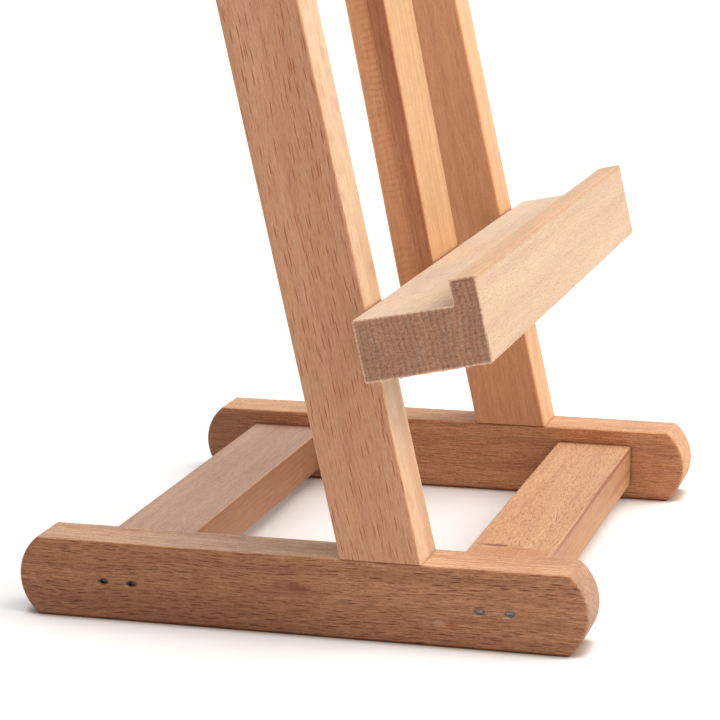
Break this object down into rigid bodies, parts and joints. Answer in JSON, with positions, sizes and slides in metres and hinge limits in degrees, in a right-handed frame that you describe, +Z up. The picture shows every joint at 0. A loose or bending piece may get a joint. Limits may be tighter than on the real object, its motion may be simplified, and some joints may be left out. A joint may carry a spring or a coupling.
{
  "type": "table-top artist easel",
  "caption": "Table-top H-frame easel in beech: leaning uprights on a rail base, a lipped canvas shelf and a sliding centre mast with a canvas clamp.",
  "frame": {"origin": "on the table surface, in the middle of the base", "axes": "+X to the painter's right, +Y away from the painter, to the back of the easel, +Z up"},
  "size_m": [0.276, 0.216, 0.5395],
  "materials": {
    "beech_rails": "planed and sanded beech, bare",
    "beech_crossbars": "planed and sanded beech, bare",
    "beech_uprights": "planed and sanded beech, bare",
    "beech_moulding": "moulded beech with sawn ends, bare",
    "beech_mast": "planed and sanded beech, bare",
    "beech_dowels": "fluted beech dowel",
    "zinc_steel": "zinc plated",
    "brass": "turned",
    "black_plastic": "moulded, matte"
  },
  "bodies": {
    "frame": {"left_rail": "beech_rails", "right_rail": "beech_rails", "front_crossbar": "beech_crossbars", "rear_crossbar": "beech_crossbars", "crossbar_brads": "zinc_steel", "left_upright": "beech_uprights", "right_upright": "beech_uprights", "foot_screws": "zinc_steel", "foot_dowels": "beech_dowels", "shelf": "beech_moulding", "shelf_screws": "zinc_steel", "top_crossbar": "beech_crossbars", "top_crossbar_dowels": "beech_dowels", "mast_bolt": "zinc_steel"},
    "mast": {"mast_front_strip": "beech_mast", "mast_rear_strip": "beech_mast"},
    "clamp": {"canvas_clamp": "beech_moulding", "clamp_keeper_plates": "zinc_steel", "keeper_screws": "zinc_steel", "clamp_insert": "brass"},
    "clamp_pad": {"clamp_pad": "brass"},
    "clamp_knob": {"clamp_knob": "black_plastic", "clamp_screw": "zinc_steel"},
    "mast_washer": {"mast_washer": "zinc_steel"},
    "mast_knob": {"mast_knob": "black_plastic", "mast_knob_insert": "brass"}
  },
  "joints": [
    {"name": "mast_slide", "type": "slide", "parent": "frame", "child": "mast", "axis": [0, 0.1908, 0.9816], "range_m": [0, 0.2]},
    {"name": "clamp_slide", "type": "slide", "parent": "mast", "child": "clamp", "axis": [0, 0.1908, 0.9816], "range_m": [-0.335, 0.03]},
    {"name": "mast_washer_travel", "type": "slide", "parent": "frame", "child": "mast_washer", "axis": [0, 0.9816, -0.1908], "range_m": [0, 0.002]},
    {"name": "mast_knob_turn", "type": "hinge", "parent": "mast_washer", "child": "mast_knob", "pos_m": [0, 0.06504, 0.41522], "axis": [0, 0.9816, -0.1908], "range_deg": [0, 722]},
    {"name": "clamp_pad_travel", "type": "slide", "parent": "clamp", "child": "clamp_pad", "axis": [0, -0.9816, 0.1908], "range_m": [0, 0.002]},
    {"name": "clamp_knob_turn", "type": "hinge", "parent": "clamp_pad", "child": "clamp_knob", "pos_m": [0, 0.0038, 0.49935], "axis": [0, -0.9816, 0.1908], "range_deg": [0, 722]}
  ],
  "couplings": [
    {"joint": "mast_knob_turn", "follows": "mast_washer_travel", "rad_per_m": 6283.2},
    {"joint": "clamp_knob_turn", "follows": "clamp_pad_travel", "rad_per_m": 6283.2}
  ]
}
